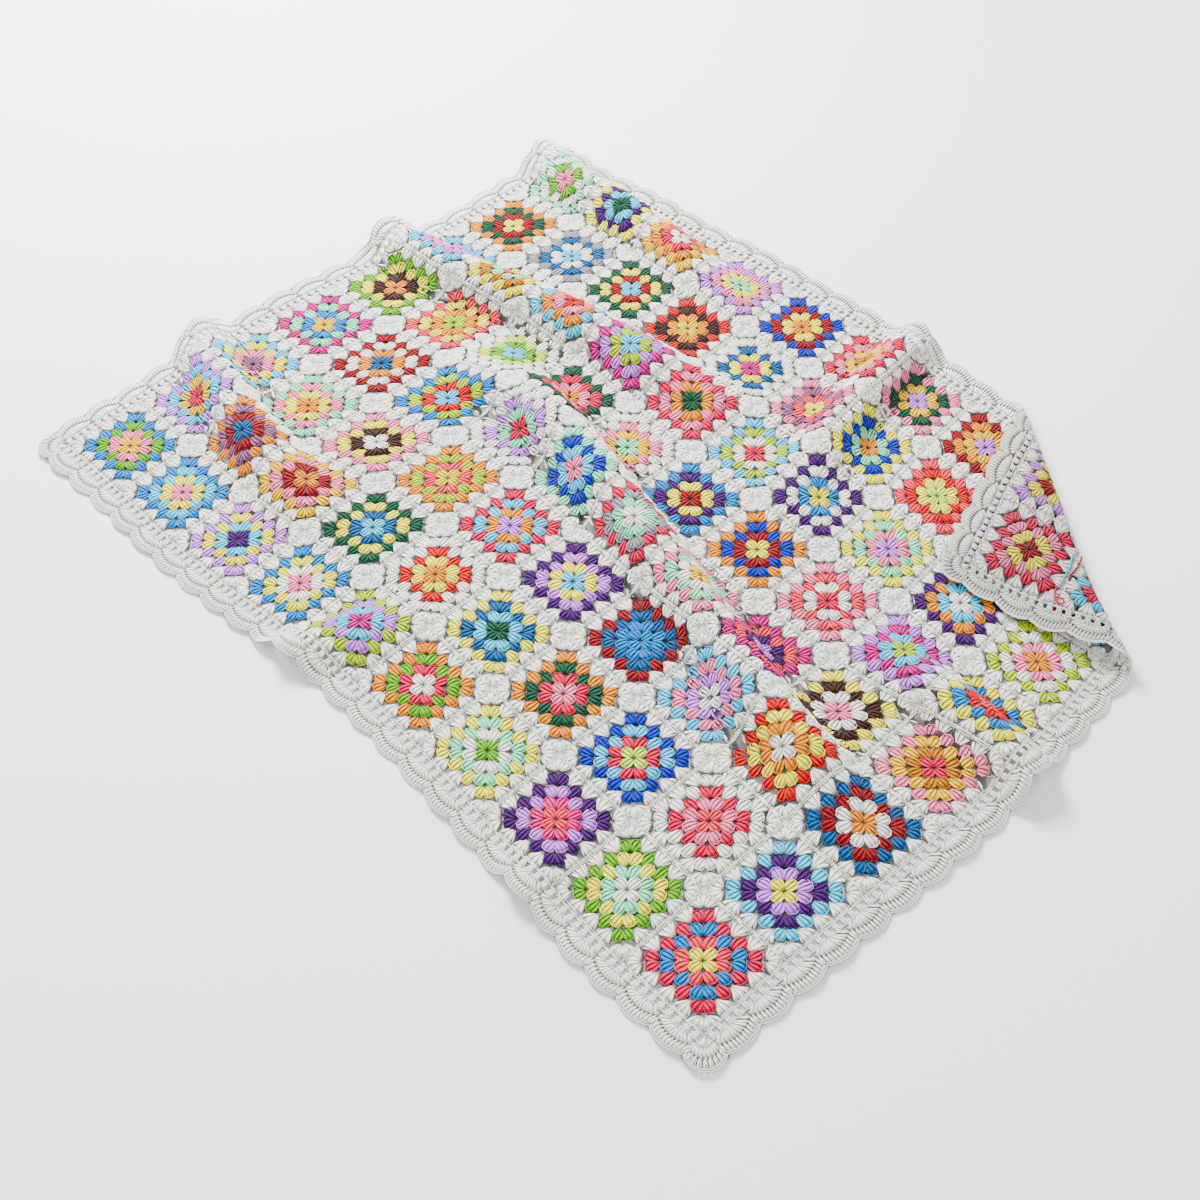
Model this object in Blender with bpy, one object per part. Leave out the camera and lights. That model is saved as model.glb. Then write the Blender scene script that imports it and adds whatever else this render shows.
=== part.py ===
"""A crocheted granny-square blanket, laid out on a floor with soft folds and one corner turned over.

X runs along the blanket's long side and Y along its short side, Z is up, and the floor is at Z = 0.
The cloth is first drawn flat, as its pattern, and then laid in its folds. Units are metres.
"""

from collections import namedtuple
from math import atan2, cos, exp, pi, radians, sin

import bmesh
import bpy
from mathutils import Vector

# The joined squares
SQUARE = 0.120  # side of one granny square, from seam to seam
SQUARES_LONG = 10
SQUARES_WIDE = 8
HALF_LONG = SQUARE * SQUARES_LONG / 2
HALF_WIDE = SQUARE * SQUARES_WIDE / 2
THICKNESS = 0.0045

# The crocheted edging: a row of open mesh, then a row of shells
PIECE_GAP = 0.0004
MESH_ROW = 0.014
EDGING = 0.040
SHELL = 0.048  # length of one shell along the edge
SHELL_DEPTH = 0.007
CORNER_SHELL_RISE = 0.010

# The gaps between stitches that are wider than 4 mm
CORNER_GAP = 0.0052
CORNER_GAP_AT = 0.048  # from the middle of a square, along both axes
MESH_GAP_LONG = 0.0066
MESH_GAP_WIDE = 0.0060
GAP_BORDER = 0.0005  # the least cloth between a gap and the edges of the cell that it is cut in
ROLL_BORDER = 0.012  # gaps this near to the roll of the turned corner stay closed

# How finely the flat pattern is divided
CELLS_IN_SQUARE = 5
CELL = SQUARE / CELLS_IN_SQUARE
RIM_CUTS = 2  # further points along one cell of the scalloped rim
TURN_STEPS = 4
SAME_PLACE = 1e-5
PROBE = 0.0005  # the distance over which the laid cloth's slope is measured

# Soft folds: a ridge from start to end, bowed sideways. It fades in and out over a share of its length.
Fold = namedtuple("Fold", "start end bow height half_width fade_in fade_out")
FOLDS = (
    Fold((-0.42, 0.03), (0.60, -0.22), bow=0.035, height=0.046, half_width=0.074, fade_in=0.25, fade_out=0.22),
    Fold((-0.78, 0.13), (0.10, 0.25), bow=-0.025, height=0.042, half_width=0.070, fade_in=0.05, fade_out=0.40),
    Fold((-0.78, 0.46), (-0.06, 0.36), bow=0.020, height=0.034, half_width=0.062, fade_in=0.05, fade_out=0.40),
    Fold((0.10, 0.66), (0.17, 0.05), bow=-0.025, height=0.034, half_width=0.064, fade_in=0.05, fade_out=0.50),
    Fold((-0.78, -0.16), (-0.16, -0.34), bow=-0.020, height=0.038, half_width=0.068, fade_in=0.05, fade_out=0.45),
    Fold((0.33, 0.06), (0.78, -0.03), bow=0.012, height=0.034, half_width=0.062, fade_in=0.40, fade_out=0.05),
    Fold((-0.14, -0.64), (0.02, -0.30), bow=0.012, height=0.024, half_width=0.060, fade_in=0.08, fade_out=0.60),
    Fold((0.36, -0.66), (0.30, -0.38), bow=-0.010, height=0.018, half_width=0.056, fade_in=0.08, fade_out=0.60),
)
FOLD_SLACK_REACH = 0.70  # how far beside a fold the cloth is drawn in towards it
FULL_SLACK = 16 * 8 / 105  # the area under a fold's squared slope, on one side, at unit size

# The slow sideways drift of the cloth over the floor, so that no side lies quite straight
Drift = namedtuple("Drift", "move_x move_y waves_x waves_y phase")
DRIFTS = (
    Drift(move_x=0.010, move_y=0.004, waves_x=0.25, waves_y=1.05, phase=0.6),
    Drift(move_x=-0.003, move_y=0.013, waves_x=0.85, waves_y=0.10, phase=1.9),
    Drift(move_x=0.003, move_y=-0.004, waves_x=1.70, waves_y=0.70, phase=0.3),
)

# The turned corner: the line that it is folded along, and how it lies
TURN_FROM = (0.66, 0.20)
TURN_TO = (0.25, 0.53)
TURN_RADIUS = 0.013
FLAP_GAP = 0.0025
FLAP_SETTLE = 0.11  # from the roll to where the flap lies close
FLAP_WAVE = 0.004
FLAP_WAVE_LENGTH = 0.17

# The edging's gentle ruffle
RUFFLE = 0.0035
RUFFLE_LENGTH = 0.20

RIM_ANGLE = radians(50)  # an edge bent further than this is shaded sharp

WHITE_COTTON = (0.90, 0.89, 0.85, 1.0)


def smooth_step(share):
    """0 before 0, 1 after 1, and a smooth rise between them."""
    share = min(1.0, max(0.0, share))
    return share * share * (3 - 2 * share)


def fold_line(start, end):
    """A line's start, its unit direction, its unit normal and its length."""
    start = Vector(start)
    along = Vector(end) - start
    length = along.length
    along = along.normalized()
    return start, along, Vector((-along.y, along.x)), length


def one_fold(fold, x, y):
    """How high a fold lifts the cloth at a flat point, and how far it draws the cloth in there."""
    start, along, across, length = fold_line(fold.start, fold.end)
    offset = Vector((x, y)) - start
    share = offset.dot(along) / length
    if not 0 < share < 1:
        return 0.0, Vector((0, 0))
    sideways = offset.dot(across) - fold.bow * 4 * share * (1 - share)
    strength = smooth_step(share / fold.fade_in) * smooth_step((1 - share) / fold.fade_out)
    height = fold.height * strength
    t = sideways / fold.half_width
    lift = height * (1 - t * t) ** 2 if abs(t) < 1 else 0.0
    inside = min(1.0, abs(t))
    slack_share = 16 * (inside**3 / 3 - 2 * inside**5 / 5 + inside**7 / 7) / FULL_SLACK
    slack = FULL_SLACK * height**2 / fold.half_width / 2
    beyond = max(0.0, abs(sideways) - fold.half_width)
    pull = slack * slack_share * exp(-beyond / FOLD_SLACK_REACH)
    return lift, across * (-pull if sideways > 0 else pull)


def all_folds(x, y):
    """The folds' joint lift, and their joint sideways pull."""
    lifted = [one_fold(fold, x, y) for fold in FOLDS]
    lift = sum(height**2 for height, _ in lifted) ** 0.5
    pull = sum((move for _, move in lifted), Vector((0, 0)))
    return lift, pull


def drifted(x, y):
    """Where the drift takes a point of the cloth on the floor."""
    for drift in DRIFTS:
        wave = sin(2 * pi * (drift.waves_x * x + drift.waves_y * y) + drift.phase)
        x += drift.move_x * wave
        y += drift.move_y * wave
    return x, y


def turn_corner(x, y):
    """Where a flat point lies once the corner is turned over, and the height of the cloth's middle there."""
    start, along, inward, _ = fold_line(TURN_FROM, TURN_TO)
    outward = -inward
    flat = Vector((x, y))
    past = (flat - start).dot(outward)
    middle = THICKNESS / 2
    if past <= 0:
        return x, y, middle
    on_line = flat - outward * past
    angle = past / TURN_RADIUS
    if angle < pi:
        place = on_line + outward * (TURN_RADIUS * sin(angle))
        return place.x, place.y, middle + TURN_RADIUS * (1 - cos(angle))
    beyond = past - pi * TURN_RADIUS
    place = on_line - outward * beyond
    top = middle + 2 * TURN_RADIUS
    wave = (1 - cos(2 * pi * (on_line - start).dot(along) / FLAP_WAVE_LENGTH)) / 2
    close = middle + THICKNESS + FLAP_GAP + FLAP_WAVE * wave
    settled = smooth_step(beyond / FLAP_SETTLE)
    return place.x, place.y, top + (close - top) * settled


def ruffle(x, y):
    """How far the edging stands off the floor."""
    out = max(abs(x) - HALF_LONG, abs(y) - HALF_WIDE, 0.0) / EDGING
    along = x + y
    return RUFFLE * out * (1 - cos(2 * pi * along / RUFFLE_LENGTH)) / 2


def middle_of_cloth(flat_x, flat_y):
    """Where the middle of the cloth's thickness lies, for a point of the flat pattern."""
    x, y, height = turn_corner(flat_x, flat_y)
    lift, pull = all_folds(x, y)
    x, y = drifted(x + pull.x, y + pull.y)
    return Vector((x, y, height + lift + ruffle(flat_x, flat_y)))


def laid(flat):
    """The place of a point of the flat pattern in the cloth as it lies, off its middle by the point's height."""
    along_x = middle_of_cloth(flat.x + PROBE, flat.y) - middle_of_cloth(flat.x - PROBE, flat.y)
    along_y = middle_of_cloth(flat.x, flat.y + PROBE) - middle_of_cloth(flat.x, flat.y - PROBE)
    face_side = along_x.cross(along_y).normalized()
    return middle_of_cloth(flat.x, flat.y) + face_side * flat.z


def past_turn(flat):
    """How far a flat point lies past the line that the corner is folded along."""
    start, _, inward, _ = fold_line(TURN_FROM, TURN_TO)
    return -(flat.xy - start).dot(inward)


def cut_turn_lines(sheet):
    """Divides the pattern along the roll of the turned corner, so that it bends smoothly."""
    start, _, inward, _ = fold_line(TURN_FROM, TURN_TO)
    outward = -inward
    for step in range(TURN_STEPS + 1):
        point = start + outward * (pi * TURN_RADIUS * step / TURN_STEPS)
        bmesh.ops.bisect_plane(
            sheet,
            geom=sheet.verts[:] + sheet.edges[:] + sheet.faces[:],
            dist=SAME_PLACE,
            plane_co=point.to_3d(),
            plane_no=outward.to_3d(),
        )


def face_around(faces, centre, clearance):
    """The four-sided face that holds a gap's centre with room to spare, or None."""
    for face in faces:
        xs = [vert.co.x for vert in face.verts]
        ys = [vert.co.y for vert in face.verts]
        inside_x = min(xs) + clearance < centre.x < max(xs) - clearance
        inside_y = min(ys) + clearance < centre.y < max(ys) - clearance
        if inside_x and inside_y and len(face.verts) == 4:
            return face
    return None


def near_roll(centre):
    """Whether a gap would lie on the roll of the turned corner."""
    return -ROLL_BORDER < past_turn(centre) < pi * TURN_RADIUS + ROLL_BORDER


def cut_gaps(sheet, centres, long, wide):
    """Opens a small four-sided gap of this size at each centre."""
    sheet.faces.ensure_lookup_table()
    nearest = {}
    for face in sheet.faces:
        middle = face.calc_center_median()
        nearest.setdefault((round(middle.x / SQUARE), round(middle.y / SQUARE)), []).append(face)
    chosen = []
    for centre in centres:
        if near_roll(centre):
            continue
        key = (round(centre.x / SQUARE), round(centre.y / SQUARE))
        around = [(key[0] + i, key[1] + j) for i in (-1, 0, 1) for j in (-1, 0, 1)]
        faces = [face for place in around for face in nearest.get(place, [])]
        face = face_around(faces, centre, max(long, wide) / 2 + GAP_BORDER)
        if face:
            chosen.append((face, centre))
    bmesh.ops.inset_individual(sheet, faces=[face for face, _ in chosen], thickness=GAP_BORDER)
    for face, centre in chosen:
        middle = face.calc_center_median()
        for vert in face.verts:
            side_x = long / 2 if vert.co.x > middle.x else -long / 2
            side_y = wide / 2 if vert.co.y > middle.y else -wide / 2
            vert.co = Vector((centre.x + side_x, centre.y + side_y, 0))
    bmesh.ops.delete(sheet, geom=[face for face, _ in chosen], context="FACES")


def square_middles():
    """The middle of each granny square on the flat pattern."""
    for column in range(SQUARES_LONG):
        for row in range(SQUARES_WIDE):
            x = -HALF_LONG + SQUARE * (column + 0.5)
            y = -HALF_WIDE + SQUARE * (row + 0.5)
            yield Vector((x, y, 0))


def field_pattern():
    """The joined squares, flat, with one corner gap open in each."""
    sheet = bmesh.new()
    cells_long = SQUARES_LONG * CELLS_IN_SQUARE
    cells_wide = SQUARES_WIDE * CELLS_IN_SQUARE
    bmesh.ops.create_grid(sheet, x_segments=cells_long, y_segments=cells_wide, size=1.0)
    bmesh.ops.scale(sheet, vec=(HALF_LONG, HALF_WIDE, 1), verts=sheet.verts)
    cut_turn_lines(sheet)
    corner = Vector((CORNER_GAP_AT, CORNER_GAP_AT, 0))
    cut_gaps(sheet, [middle + corner for middle in square_middles()], CORNER_GAP, CORNER_GAP)
    return sheet


def edging_line(half, index, count):
    """The place of one grid line across the edging and the squares, from one outer edge to the other."""
    outer = {0: -half - EDGING, 1: -half - MESH_ROW, count - 1: half + MESH_ROW, count: half + EDGING}
    if index in outer:
        return outer[index]
    return -half + 2 * half * (index - 2) / (count - 4)


def scallop(along):
    """How far the edge is drawn in from its furthest line, at a place along a side."""
    return SHELL_DEPTH * (1 - abs(sin(pi * along / SHELL)))


def shape_outer_edge(sheet, half_long, half_wide):
    """Moves the points of the outer edge in to the shells' outline."""
    for vert in sheet.verts:
        x = vert.co.x
        y = vert.co.y
        out_x = abs(x) - half_long
        out_y = abs(y) - half_wide
        if max(out_x, out_y) < EDGING - SAME_PLACE:
            continue
        if out_x > SAME_PLACE and out_y > SAME_PLACE:
            angle = atan2(out_y, out_x)
            reach = EDGING - SHELL_DEPTH + CORNER_SHELL_RISE * sin(2 * angle)
            vert.co.x = (half_long + reach * cos(angle)) * (1 if x > 0 else -1)
            vert.co.y = (half_wide + reach * sin(angle)) * (1 if y > 0 else -1)
        elif out_x > out_y:
            vert.co.x -= scallop(y + half_wide) * (1 if x > 0 else -1)
        else:
            vert.co.y -= scallop(x + half_long) * (1 if y > 0 else -1)


def mesh_gap_centres(half_long, half_wide):
    """The middle of every second gap in the edging's mesh row, all round."""
    out = MESH_ROW / 2
    for side in (-1, 1):
        for index in range(SQUARES_LONG * CELLS_IN_SQUARE):
            yield Vector((-HALF_LONG + CELL * (index + 0.5), side * (half_wide + out), 0))
        for index in range(SQUARES_WIDE * CELLS_IN_SQUARE):
            yield Vector((side * (half_long + out), -HALF_WIDE + CELL * (index + 0.5), 0))


def edging_pattern():
    """The edging, flat: a ring round the squares with a scalloped outer edge and open gaps in its mesh row."""
    half_long = HALF_LONG + PIECE_GAP
    half_wide = HALF_WIDE + PIECE_GAP
    cells_long = SQUARES_LONG * CELLS_IN_SQUARE + 4
    cells_wide = SQUARES_WIDE * CELLS_IN_SQUARE + 4
    sheet = bmesh.new()
    bmesh.ops.create_grid(sheet, x_segments=cells_long, y_segments=cells_wide, size=1.0)
    for vert in sheet.verts:
        column = round((vert.co.x + 1) / 2 * cells_long)
        row = round((vert.co.y + 1) / 2 * cells_wide)
        vert.co.x = edging_line(half_long, column, cells_long)
        vert.co.y = edging_line(half_wide, row, cells_wide)
    inner = []
    for face in sheet.faces:
        middle = face.calc_center_median()
        if abs(middle.x) < half_long and abs(middle.y) < half_wide:
            inner.append(face)
    bmesh.ops.delete(sheet, geom=inner, context="FACES")
    outer = []
    for edge in sheet.edges:
        middle = (edge.verts[0].co + edge.verts[1].co) / 2
        furthest = max(abs(middle.x) - half_long, abs(middle.y) - half_wide)
        if edge.is_boundary and furthest > EDGING - SAME_PLACE:
            outer.append(edge)
    bmesh.ops.subdivide_edges(sheet, edges=outer, cuts=RIM_CUTS)
    shape_outer_edge(sheet, half_long, half_wide)
    cut_turn_lines(sheet)
    cut_gaps(sheet, list(mesh_gap_centres(half_long, half_wide)), MESH_GAP_LONG, MESH_GAP_WIDE)
    return sheet


def white_cotton():
    """The off-white cotton yarn."""
    material = bpy.data.materials.new("white_cotton")
    material.use_nodes = True
    shader = material.node_tree.nodes["Principled BSDF"]
    shader.inputs["Base Color"].default_value = WHITE_COTTON
    shader.inputs["Roughness"].default_value = 0.85
    shader.inputs["Metallic"].default_value = 0.0
    return material


def give_thickness(pattern, split):
    """Makes a flat pattern a flat solid, with half of its thickness on each side of the pattern.

    Its walls are split into triangles here. On the roll of the turned corner they twist, and the
    squares' wall keeps clear of the edging's only if both are split along the same diagonals.
    """
    lower = pattern.verts[:]
    raised = bmesh.ops.extrude_face_region(pattern, geom=pattern.faces[:], use_keep_orig=True)
    upper = [item for item in raised["geom"] if isinstance(item, bmesh.types.BMVert)]
    bmesh.ops.translate(pattern, vec=(0, 0, -THICKNESS / 2), verts=lower)
    bmesh.ops.translate(pattern, vec=(0, 0, THICKNESS / 2), verts=upper)
    bmesh.ops.recalc_face_normals(pattern, faces=pattern.faces)
    walls = [face for face in pattern.faces if abs(face.normal.z) < 0.5]
    bmesh.ops.triangulate(pattern, faces=walls, quad_method=split)


def lay_out(name, pattern, split, collection, material):
    """Gives a flat pattern its thickness and lays it in the blanket's folds."""
    give_thickness(pattern, split)
    for vert in pattern.verts:
        vert.co = laid(vert.co)
    mesh = bpy.data.meshes.new(name)
    pattern.to_mesh(mesh)
    pattern.free()
    mesh.shade_smooth()
    mesh.set_sharp_from_angle(angle=RIM_ANGLE)
    mesh.materials.append(material)
    cloth = bpy.data.objects.new(name, mesh)
    collection.objects.link(cloth)
    return cloth


def centre(pieces):
    """Moves the pieces together, so that the box round them all stands centred on the origin."""
    corners = [Vector(corner) for piece in pieces for corner in piece.bound_box]
    for axis in range(2):
        places = [corner[axis] for corner in corners]
        middle = (min(places) + max(places)) / 2
        for piece in pieces:
            piece.location[axis] = -middle


def main():
    for thing in list(bpy.data.objects):
        bpy.data.objects.remove(thing)
    collection = bpy.data.collections.new("granny_square_blanket")
    bpy.context.scene.collection.children.link(collection)
    material = white_cotton()
    squares = lay_out("joined_squares", field_pattern(), "FIXED", collection, material)
    edging = lay_out("crocheted_edging", edging_pattern(), "ALTERNATE", collection, material)
    centre((squares, edging))


main()
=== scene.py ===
"""A crocheted granny-square blanket, stitch by stitch, on the folds that the frame gives its cloth.

Every stitch is first placed on the flat pattern, with X along the blanket's long side, Y along its
short side and Z towards its right side. Then each point is laid in the folds. Units are metres,
and millimetres where a comment says so.
"""

from collections import namedtuple
from math import atan2, cos, pi, radians, sin

import bmesh
import bpy
import numpy as np
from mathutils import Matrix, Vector


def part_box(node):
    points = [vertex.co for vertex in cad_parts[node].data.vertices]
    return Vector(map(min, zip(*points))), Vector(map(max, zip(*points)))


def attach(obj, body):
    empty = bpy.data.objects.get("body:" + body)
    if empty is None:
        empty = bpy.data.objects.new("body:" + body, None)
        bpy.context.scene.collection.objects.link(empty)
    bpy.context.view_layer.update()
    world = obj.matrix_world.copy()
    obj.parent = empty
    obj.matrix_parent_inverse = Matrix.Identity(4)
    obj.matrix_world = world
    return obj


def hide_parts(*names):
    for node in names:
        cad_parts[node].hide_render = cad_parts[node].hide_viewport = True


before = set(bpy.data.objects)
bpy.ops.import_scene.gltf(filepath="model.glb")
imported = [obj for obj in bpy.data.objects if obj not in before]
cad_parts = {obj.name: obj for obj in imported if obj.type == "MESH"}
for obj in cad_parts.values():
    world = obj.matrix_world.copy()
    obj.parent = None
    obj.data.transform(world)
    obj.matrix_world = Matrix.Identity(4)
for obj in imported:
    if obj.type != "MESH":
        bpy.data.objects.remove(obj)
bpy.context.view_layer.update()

MM = 0.001
rng = np.random.default_rng(7)

# The joined squares and the edging, of the same sizes as in the frame
SQUARE = 0.120
SQUARES_LONG = 10
SQUARES_WIDE = 8
HALF_LONG = SQUARE * SQUARES_LONG / 2
HALF_WIDE = SQUARE * SQUARES_WIDE / 2
THICKNESS = 0.0045
EDGING = 0.040
GRID = 0.024  # the frame's cloth has its points this far apart
PROBE = 0.0005  # how far on each side of a point the cloth's slope is read

# Soft folds: a ridge from start to end, bowed sideways. It fades in and out over a share of its length.
Fold = namedtuple("Fold", "start end bow height half_width fade_in fade_out")
FOLDS = (
    Fold((-0.42, 0.03), (0.60, -0.22), bow=0.035, height=0.046, half_width=0.074,
         fade_in=0.25, fade_out=0.22),
    Fold((-0.78, 0.13), (0.10, 0.25), bow=-0.025, height=0.042, half_width=0.070,
         fade_in=0.05, fade_out=0.40),
    Fold((-0.78, 0.46), (-0.06, 0.36), bow=0.020, height=0.034, half_width=0.062,
         fade_in=0.05, fade_out=0.40),
    Fold((0.10, 0.66), (0.17, 0.05), bow=-0.025, height=0.034, half_width=0.064,
         fade_in=0.05, fade_out=0.50),
    Fold((-0.78, -0.16), (-0.16, -0.34), bow=-0.020, height=0.038, half_width=0.068,
         fade_in=0.05, fade_out=0.45),
    Fold((0.33, 0.06), (0.78, -0.03), bow=0.012, height=0.034, half_width=0.062,
         fade_in=0.40, fade_out=0.05),
    Fold((-0.14, -0.64), (0.02, -0.30), bow=0.012, height=0.024, half_width=0.060,
         fade_in=0.08, fade_out=0.60),
    Fold((0.36, -0.66), (0.30, -0.38), bow=-0.010, height=0.018, half_width=0.056,
         fade_in=0.08, fade_out=0.60),
)
FOLD_SLACK_REACH = 0.70  # how far beside a fold the cloth is drawn in towards it
FULL_SLACK = 16 * 8 / 105  # the area under a fold's squared slope, on one side, at unit size

# The slow sideways drift of the cloth over the floor, so that no side lies quite straight
Drift = namedtuple("Drift", "move_x move_y waves_x waves_y phase")
DRIFTS = (
    Drift(move_x=0.010, move_y=0.004, waves_x=0.25, waves_y=1.05, phase=0.6),
    Drift(move_x=-0.003, move_y=0.013, waves_x=0.85, waves_y=0.10, phase=1.9),
    Drift(move_x=0.003, move_y=-0.004, waves_x=1.70, waves_y=0.70, phase=0.3),
)

# The turned corner: the line that it is folded along, and how it lies
TURN_FROM = (0.66, 0.20)
TURN_TO = (0.25, 0.53)
TURN_RADIUS = 0.013
FLAP_GAP = 0.0025  # between the flap and the cloth that it lies on
FLAP_SETTLE = 0.11  # how far past the roll the flap comes down to that gap
FLAP_WAVE = 0.004  # how much higher the flap lies at the top of a wave
FLAP_WAVE_LENGTH = 0.17

# The edging's gentle ruffle
RUFFLE = 0.0035
RUFFLE_LENGTH = 0.20

# The dyes of the yarns, which are deeper than they look under the bright lights
YARNS = {
    "white": (0.985, 0.975, 0.945),
    "cream": (1.00, 0.95, 0.18),
    "straw": (0.93, 0.82, 0.02),
    "yellow": (0.98, 0.77, 0.00),
    "orange": (0.93, 0.55, 0.00),
    "tan": (0.76, 0.47, 0.02),
    "coral": (0.95, 0.23, 0.31),
    "red": (0.82, 0.00, 0.01),
    "crimson": (0.56, 0.00, 0.06),
    "rose": (0.86, 0.00, 0.27),
    "hot_pink": (0.90, 0.05, 0.48),
    "pink": (1.00, 0.50, 0.65),
    "magenta": (0.78, 0.00, 0.50),
    "lilac": (0.82, 0.49, 0.95),
    "mauve": (0.58, 0.34, 0.50),
    "purple": (0.26, 0.00, 0.38),
    "royal_blue": (0.00, 0.15, 0.68),
    "denim": (0.00, 0.34, 0.57),
    "sky": (0.04, 0.49, 0.79),
    "turquoise": (0.00, 0.50, 0.80),
    "light_blue": (0.28, 0.80, 0.96),
    "mint": (0.52, 0.95, 0.74),
    "pale_lime": (0.82, 0.95, 0.28),
    "lime": (0.72, 0.82, 0.00),
    "leaf": (0.39, 0.70, 0.00),
    "green": (0.00, 0.30, 0.19),
    "brown": (0.22, 0.09, 0.08),
    "grey": (0.60, 0.60, 0.63),
}

# The coloured rounds of each square, from the middle out. The rounds after them are white.
CHART = (
    (
        "yellow pink leaf turquoise", "pink cream light_blue turquoise", "purple light_blue cream lilac",
        "pink white cream turquoise", "magenta light_blue lilac lime", "white rose leaf orange",
        "leaf white mint cream", "coral hot_pink lilac purple", "white mint cream leaf",
        "cream coral turquoise rose",
    ),
    (
        "rose yellow light_blue lilac", "denim crimson mauve orange", "orange crimson pink yellow",
        "light_blue denim cream green", "orange cream red", "green light_blue denim cream",
        "pink rose green orange", "pale_lime rose light_blue royal_blue", "coral pink rose",
        "cream lilac purple light_blue",
    ),
    (
        "mauve pink cream light_blue", "orange cream pink mint", "white brown cream pink",
        "straw coral lime orange", "lilac orange light_blue rose", "light_blue cream lilac purple",
        "turquoise sky denim crimson", "white lilac pink light_blue", "white orange cream red",
        "orange white crimson denim",
    ),
    (
        "yellow turquoise mint magenta", "denim orange white crimson", "light_blue red lime turquoise",
        "rose mint lilac", "pink light_blue royal_blue mint", "white mint grey rose",
        "yellow white mint pink", "lilac purple coral magenta", "pink white brown cream",
        "rose tan yellow pink",
    ),
    (
        "orange brown cream leaf", "lime orange cream coral", "light_blue leaf pale_lime",
        "orange pink rose green", "mint yellow pink", "crimson cream purple turquoise",
        "cream crimson royal_blue orange", "rose white coral pink", "lime light_blue magenta lilac",
        "coral red turquoise cream",
    ),
    (
        "white pink lilac light_blue", "rose mint tan cream", "red pink orange light_blue",
        "light_blue lime lilac magenta", "green orange pink rose", "rose white lime light_blue",
        "cream turquoise white purple", "lilac pink mint cream", "white light_blue orange purple",
        "orange pink white lime",
    ),
    (
        "cream crimson green orange", "light_blue white denim grey", "light_blue crimson cream green",
        "straw orange brown red", "magenta cream denim", "cream coral mauve pink",
        "orange mint royal_blue cream", "pale_lime cream red coral", "pink yellow hot_pink lilac",
        "royal_blue white rose light_blue",
    ),
    (
        "pink leaf white mint", "green light_blue purple cream", "white rose orange yellow",
        "mint cream pink lilac", "orange cream crimson royal_blue", "tan yellow pink rose",
        "lilac yellow green pink", "lilac yellow orange crimson", "yellow crimson cream lilac",
        "crimson cream pink rose",
    ),
)

# The yarn
YARN_SIDES = 3
YARN_RADIUS = 1.45 * MM
HEADS_RADIUS = 1.15 * MM  # of the chain over a cluster's heads
END_RADIUS = 1.35 * MM
UNDERSIDE_PAINTED_SHADE = 0.62  # painted shade: how much darker the colour is along the underside of a strand
PLY_TURN = 2.6 * MM  # the length of yarn in which one ply takes the place of the next

# A square's rounds of clusters
ROUNDS = 5
CLUSTER_HEIGHT = 21.0 * MM
CLUSTER_PITCH = 23.4 * MM
BORDER_PITCH = 24.0 * MM  # in the last round, which the seams join
FIRST_ROUND = 18.0 * MM  # from the square's middle to the heads of its first round
FIRST_ROUND_WIDTH = 0.95
ROUND_RISE = 10.5 * MM
FIRST_FOOT = 0.6 * MM  # from the middle to the feet of the first round
CORNER_FOOT = 8.0 * MM  # from the middle to the feet of the second round's corners, along both axes
CORNER_RISE = 12.0 * MM  # from the feet of one round's corners to the next one's
CORNER_PART = 0.9 * MM  # how far the feet of a corner's two clusters are moved apart
FACINGS = tuple(side * pi / 2 for side in range(4))  # which way each side of a square faces

# How far one stitch differs from the next. The first two are in millimetres.
PLACE_SCATTER = 0.22
HEIGHT_SCATTER = 0.1
TURN_SCATTER = radians(2.2)
WIDTH_SCATTER = 0.03
LENGTH_SCATTER = 0.018
DYE_SCATTER = 0.03
WHITE_SCATTER = 0.02
VARIANTS = 4  # of each kind of cluster

# The shapes of the stitches are in millimetres from here to the mesh row. A swell is a strand's
# thickness at each station of its path, as a share of the yarn's, and a tone is how far painted
# shade darkens its colour there, or a painted highlight lightens it.

# One cluster: three double crochet stitches worked into one space, drawn together at their feet.
# Its strands, from the feet to the heads: how far up they are, how far out the outermost one is, and
# how high a strand is that lies over its partner, or under it.
STRANDS = 6
OUTERMOST = (STRANDS - 1) / 2
CLUSTER_SPREADS = (
    (1.0, 2.2, -0.7, -1.1), (5.6, 4.8, 0.7, -0.5), (12.5, 6.6, 1.1, -0.1), (19.2, 5.2, 0.6, -0.1),
)
CLUSTER_SWELL = (0.85, 1.02, 1.10, 0.92)
BORDER_SPREADS = (
    (1.4, 1.8, -1.1, -1.3), (7.4, 4.0, 0.4, -0.5), (12.6, 7.3, 0.8, 0.0), (19.4, 9.4, 0.1, -0.4),
)
BORDER_SWELL = (0.80, 1.08, 1.32, 1.36)
# Painted shade along a cluster's strands, darkest at the feet where they go down into the cloth
STRAND_PAINTED_SHADE = (0.42, 0.86, 1.0, 0.88)
STRAND_SHUFFLE = 0.3
FOOT_ROUNDING = 0.9  # how much higher the outermost foot is than the middle ones
HEAD_ROUNDING = 2.6  # how much lower the outermost head is

# The chain over a cluster's heads
CLUSTER_HEADS = (
    (-7.4, 14.2, -0.4), (-5.8, 18.0, 0.9), (0.0, 20.3, 1.4), (5.8, 18.0, 0.9), (7.4, 14.2, -0.4),
)
BORDER_HEADS = (
    (-11.6, 18.4, 0.0), (-6.0, 19.6, 0.9), (0.0, 19.9, 1.0), (6.0, 19.6, 0.9), (11.6, 18.4, 0.0),
)
HEADS_SWELL = (0.75, 1.0, 1.05, 1.0, 0.75)
# Painted shade at the ends of the heads' chain, and a painted highlight over its crest
HEADS_PAINTED_LIGHT = (0.8, 1.0, 1.06, 1.0, 0.8)
HEADS_SHUFFLE = 0.25
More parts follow.
